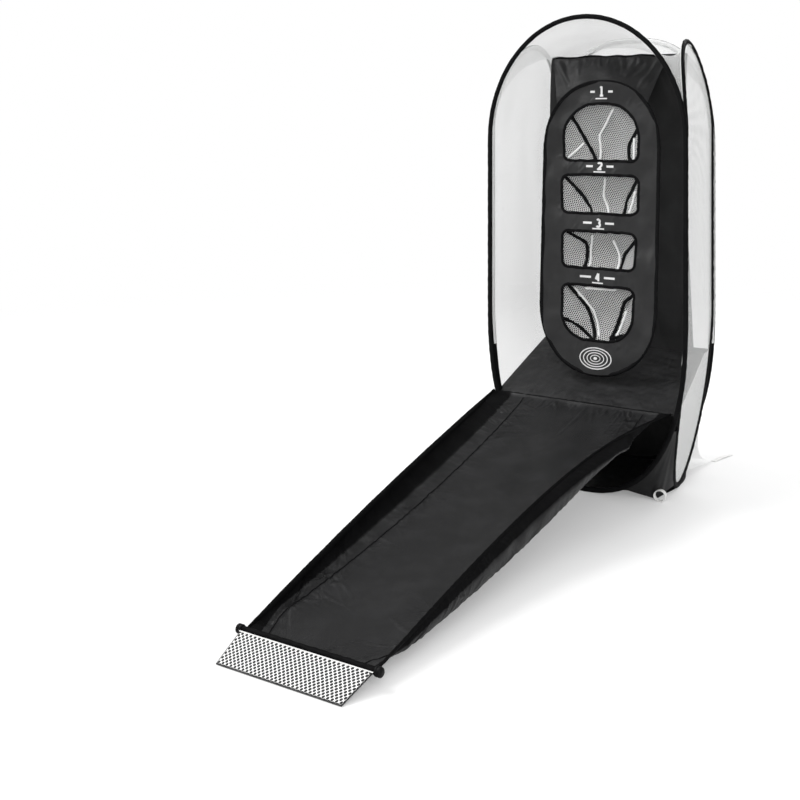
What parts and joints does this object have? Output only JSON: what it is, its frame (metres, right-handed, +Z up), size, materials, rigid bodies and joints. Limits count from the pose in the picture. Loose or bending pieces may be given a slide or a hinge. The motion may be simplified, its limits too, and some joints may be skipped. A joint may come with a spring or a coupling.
{
  "type": "golf chipping net",
  "caption": "Pop-up net cage on sprung hoops with a hanging pocket target, a return slope, and a fabric chute that rolls the golf ball back out",
  "frame": {"origin": "on the ground under the middle of the cage, at the middle of the floor sheet's underside", "axes": "+Z up, -Y out of the mouth along the chute, +X to the right seen from the front"},
  "size_m": [0.75, 2.3964, 1.657],
  "materials": {
    "binding_tape": "matt black folded tape",
    "black_cloth": "satin black coated polyester cloth",
    "white_net": "white knitted mesh",
    "white_webbing": "white woven webbing",
    "spring_steel": "bare tempered wire",
    "black_plastic": "moulded black end cap"
  },
  "bodies": {
    "cage": {"front_hoop_wire": "spring_steel", "front_hoop_binding": "binding_tape", "left_hoop_wire": "spring_steel", "left_hoop_binding": "binding_tape", "right_hoop_wire": "spring_steel", "right_hoop_binding": "binding_tape", "back_hoop_wire": "spring_steel", "back_hoop_binding": "binding_tape", "left_net": "white_net", "right_net": "white_net", "back_net": "white_net", "roof_net": "white_net", "floor_sheet": "black_cloth", "return_slope": "black_cloth", "back_sheet": "black_cloth", "left_skirt": "black_cloth", "right_skirt": "black_cloth", "back_skirt": "black_cloth", "front_left_gusset": "black_cloth", "front_right_gusset": "black_cloth", "rear_left_gusset": "white_net", "rear_right_gusset": "white_net", "front_left_loop": "white_webbing", "front_right_loop": "white_webbing", "rear_left_strap": "white_webbing", "rear_right_strap": "white_webbing"},
    "target": {"target_panel": "black_cloth", "target_rim_wire": "spring_steel", "target_rim_binding": "binding_tape", "target_flap": "black_cloth", "top_window_hem": "binding_tape", "top_pocket_net": "white_net", "upper_window_hem": "binding_tape", "upper_pocket_net": "white_net", "lower_window_hem": "binding_tape", "lower_pocket_net": "white_net", "bottom_window_hem": "binding_tape", "bottom_pocket_net": "white_net"},
    "chute": {"chute_floor": "black_cloth", "chute_left_wall": "black_cloth", "chute_right_wall": "black_cloth", "chute_left_edge_cord": "binding_tape", "chute_right_edge_cord": "binding_tape", "crossbar_rod": "spring_steel", "crossbar_sleeve": "binding_tape", "crossbar_left_cap": "black_plastic", "crossbar_right_cap": "black_plastic"},
    "apron": {"apron_net": "white_net", "apron_cloth": "black_cloth", "apron_hem": "white_webbing"}
  },
  "joints": [
    {"name": "chute_fold", "type": "hinge", "parent": "cage", "child": "chute", "pos_m": [0, -0.2245, 0.30475], "axis": [-1, 0, 0], "range_deg": [0, 85]},
    {"name": "apron_fold", "type": "hinge", "parent": "chute", "child": "apron", "pos_m": [0, -1.7875, 0.038], "axis": [-1, 0, 0], "range_deg": [0, 75]},
    {"name": "target_swing", "type": "hinge", "parent": "cage", "child": "target", "pos_m": [0, 0.0054, 1.506], "axis": [-1, 0, 0], "range_deg": [0, 5]}
  ]
}
